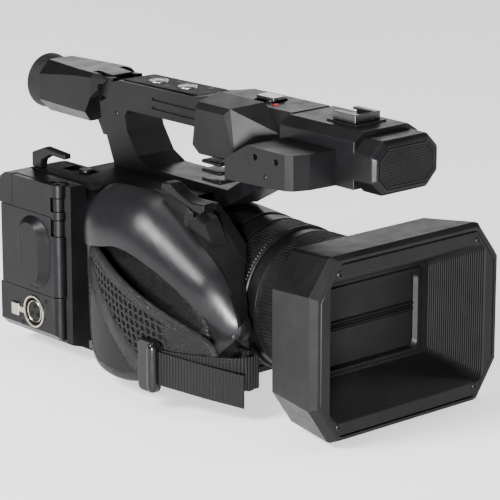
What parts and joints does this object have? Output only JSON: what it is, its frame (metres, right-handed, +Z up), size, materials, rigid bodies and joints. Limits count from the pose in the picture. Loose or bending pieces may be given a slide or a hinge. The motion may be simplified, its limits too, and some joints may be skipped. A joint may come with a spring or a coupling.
{
  "type": "camcorder",
  "caption": "Professional hand-held camcorder with a rectangular lens hood, wide side grip with strap, carrying handle with front microphone, tilting eyepiece and hinged terminal doors.",
  "frame": {"origin": "on the base plane under the lens axis, 48 mm ahead of the tripod thread", "axes": "+Z up, -Y the way the lens looks, -X the side of the hand grip"},
  "size_m": [0.1814, 0.362, 0.1934],
  "materials": {
    "black_shell": "fine-grained satin moulding",
    "gloss_shell": "smooth semi-gloss moulding",
    "painted_frame": "fine texture paint on a fibre-filled moulding",
    "hood_black": "flat anti-glare black",
    "lens_black": "ribbed rubber over black metal",
    "rubber": "soft matt rubber",
    "leather": "grained",
    "strap_cloth": "woven nylon with a leather edge",
    "steel": "satin",
    "silver": "satin plated",
    "red_button": "gloss with a plated rim",
    "glass": "coated",
    "board": "solder mask",
    "inner_metal": "as cast",
    "grille": "perforated and painted"
  },
  "bodies": {
    "chassis": {"base_plate": "black_shell", "tripod_insert": "steel", "inner_frame": "inner_metal", "left_case": "black_shell", "right_case": "black_shell", "front_case": "black_shell", "rear_case": "black_shell", "top_deck": "black_shell", "grip_cover": "gloss_shell", "grip_front_cover": "black_shell", "grip_pad": "leather", "strap_lugs": "black_shell", "strap_pad": "strap_cloth", "strap_webbing": "strap_cloth", "strap_buckle": "gloss_shell", "terminal_block": "black_shell", "sockets": "silver", "door_hinge_pin": "steel", "main_board": "board", "handle_frame": "painted_frame", "handle_top_cover": "painted_frame", "handle_front": "painted_frame", "cold_shoe": "silver", "mic_housing": "painted_frame", "mic_grille": "grille", "xlr_block": "painted_frame", "mic_holder_box": "black_shell", "cable_clamps": "black_shell", "evf_bracket": "black_shell", "hood_shell": "gloss_shell", "hood_baffle": "hood_black", "screws": "steel", "lens_barrel": "lens_black", "front_lens": "glass", "inner_lenses": "glass", "sensor_board": "board"},
    "eyepiece": {"evf_body": "black_shell", "evf_eyecup": "rubber", "evf_optics": "glass"},
    "shutter_upper": {"shutter_upper": "hood_black"},
    "shutter_lower": {"shutter_lower": "hood_black"},
    "shutter_lever": {"shutter_lever": "hood_black"},
    "focus_ring": {"focus_ring": "lens_black"},
    "zoom_ring": {"zoom_ring": "lens_black"},
    "iris_ring": {"iris_ring": "lens_black"},
    "grip_zoom_rocker": {"grip_zoom_rocker": "black_shell"},
    "grip_rec_button": {"grip_rec_button": "black_shell"},
    "terminal_door_upper": {"terminal_door_upper": "black_shell"},
    "terminal_door_lower": {"terminal_door_lower": "black_shell"},
    "xlr_release_tab": {"xlr_release_tab": "silver"},
    "battery_pack": {"battery_pack": "black_shell"},
    "battery_release": {"battery_release": "black_shell"},
    "card_door": {"card_door": "black_shell"},
    "lcd_panel": {"lcd_panel": "black_shell"},
    "diopter_dial": {"diopter_dial": "black_shell"},
    "handle_rec_button": {"handle_rec_button": "red_button"},
    "handle_user_button": {"handle_user_button": "silver"},
    "handle_zoom_rocker": {"handle_zoom_rocker": "silver"},
    "menu_dial": {"menu_dial": "black_shell"},
    "nd_switch": {"nd_switch": "black_shell"}
  },
  "joints": [
    {"name": "shutter_upper_slide", "type": "slide", "parent": "chassis", "child": "shutter_upper", "axis": [0, 0, 1], "range_m": [0, 0.025]},
    {"name": "shutter_lower_slide", "type": "slide", "parent": "chassis", "child": "shutter_lower", "axis": [0, 0, 1], "range_m": [-0.0265, 0]},
    {"name": "shutter_lever_turn", "type": "hinge", "parent": "chassis", "child": "shutter_lever", "pos_m": [0.079, -0.118, 0.0615], "axis": [-1, 0, 0], "range_deg": [0, 42]},
    {"name": "focus_turn", "type": "hinge", "parent": "chassis", "child": "focus_ring", "pos_m": [0, -0.069, 0.0615], "axis": [0, -1, 0], "continuous": true},
    {"name": "zoom_turn", "type": "hinge", "parent": "chassis", "child": "zoom_ring", "pos_m": [0, -0.038, 0.0615], "axis": [0, -1, 0], "range_deg": [-45, 45]},
    {"name": "iris_turn", "type": "hinge", "parent": "chassis", "child": "iris_ring", "pos_m": [0, -0.0205, 0.0615], "axis": [0, -1, 0], "continuous": true},
    {"name": "grip_zoom_rock", "type": "hinge", "parent": "chassis", "child": "grip_zoom_rocker", "pos_m": [-0.055, -0.007, 0.121], "axis": [1, 0, 0], "range_deg": [-5, 5], "stiffness_Nm_per_rad": 0.25},
    {"name": "grip_rec_press", "type": "slide", "parent": "chassis", "child": "grip_rec_button", "axis": [0, 0, -1], "range_m": [0, 0.0012], "stiffness_N_per_m": 800},
    {"name": "upper_door_swing", "type": "hinge", "parent": "chassis", "child": "terminal_door_upper", "pos_m": [-0.0762, 0.1055, 0.11], "axis": [0, 0, 1], "range_deg": [0, 100]},
    {"name": "lower_door_swing", "type": "hinge", "parent": "chassis", "child": "terminal_door_lower", "pos_m": [-0.0762, 0.1055, 0.065], "axis": [0, 0, 1], "range_deg": [0, 100]},
    {"name": "xlr_tab_press", "type": "slide", "parent": "chassis", "child": "xlr_release_tab", "axis": [1, 0, 0], "range_m": [0, 0.001], "stiffness_N_per_m": 900},
    {"name": "battery_slide", "type": "slide", "parent": "chassis", "child": "battery_pack", "axis": [0, 0, 1], "range_m": [0, 0.03]},
    {"name": "battery_release_press", "type": "slide", "parent": "chassis", "child": "battery_release", "axis": [0, -1, 0], "range_m": [0, 0.0015], "stiffness_N_per_m": 700},
    {"name": "card_door_swing", "type": "hinge", "parent": "chassis", "child": "card_door", "pos_m": [0.0562, 0.1658, 0.054], "axis": [0, 0, -1], "range_deg": [0, 100]},
    {"name": "lcd_slide", "type": "slide", "parent": "chassis", "child": "lcd_panel", "axis": [1, 0, 0], "range_m": [0, 0.046]},
    {"name": "evf_tilt", "type": "hinge", "parent": "chassis", "child": "eyepiece", "pos_m": [0, 0.135, 0.173], "axis": [1, 0, 0], "range_deg": [0, 45]},
    {"name": "diopter_turn", "type": "hinge", "parent": "eyepiece", "child": "diopter_dial", "pos_m": [0.0185, 0.1903, 0.164], "axis": [1, 0, 0], "range_deg": [-60, 60]},
    {"name": "handle_rec_press", "type": "slide", "parent": "chassis", "child": "handle_rec_button", "axis": [0, 0, -1], "range_m": [0, 0.001], "stiffness_N_per_m": 800},
    {"name": "handle_user_press", "type": "slide", "parent": "chassis", "child": "handle_user_button", "axis": [0, 0, -1], "range_m": [0, 0.001], "stiffness_N_per_m": 800},
    {"name": "handle_zoom_rock", "type": "hinge", "parent": "chassis", "child": "handle_zoom_rocker", "pos_m": [0, -0.02, 0.1822], "axis": [0, 0, 1], "range_deg": [-20, 20], "stiffness_Nm_per_rad": 0.1},
    {"name": "menu_dial_turn", "type": "hinge", "parent": "chassis", "child": "menu_dial", "pos_m": [0.062, 0.118, 0.06], "axis": [1, 0, 0], "continuous": true},
    {"name": "nd_switch_slide", "type": "slide", "parent": "chassis", "child": "nd_switch", "axis": [0, 1, 0], "range_m": [-0.0025, 0.0025]}
  ],
  "couplings": [
    {"joint": "shutter_lower_slide", "follows": "shutter_upper_slide", "ratio": -1.06},
    {"joint": "shutter_lever_turn", "follows": "shutter_upper_slide", "rad_per_m": 27.9}
  ]
}
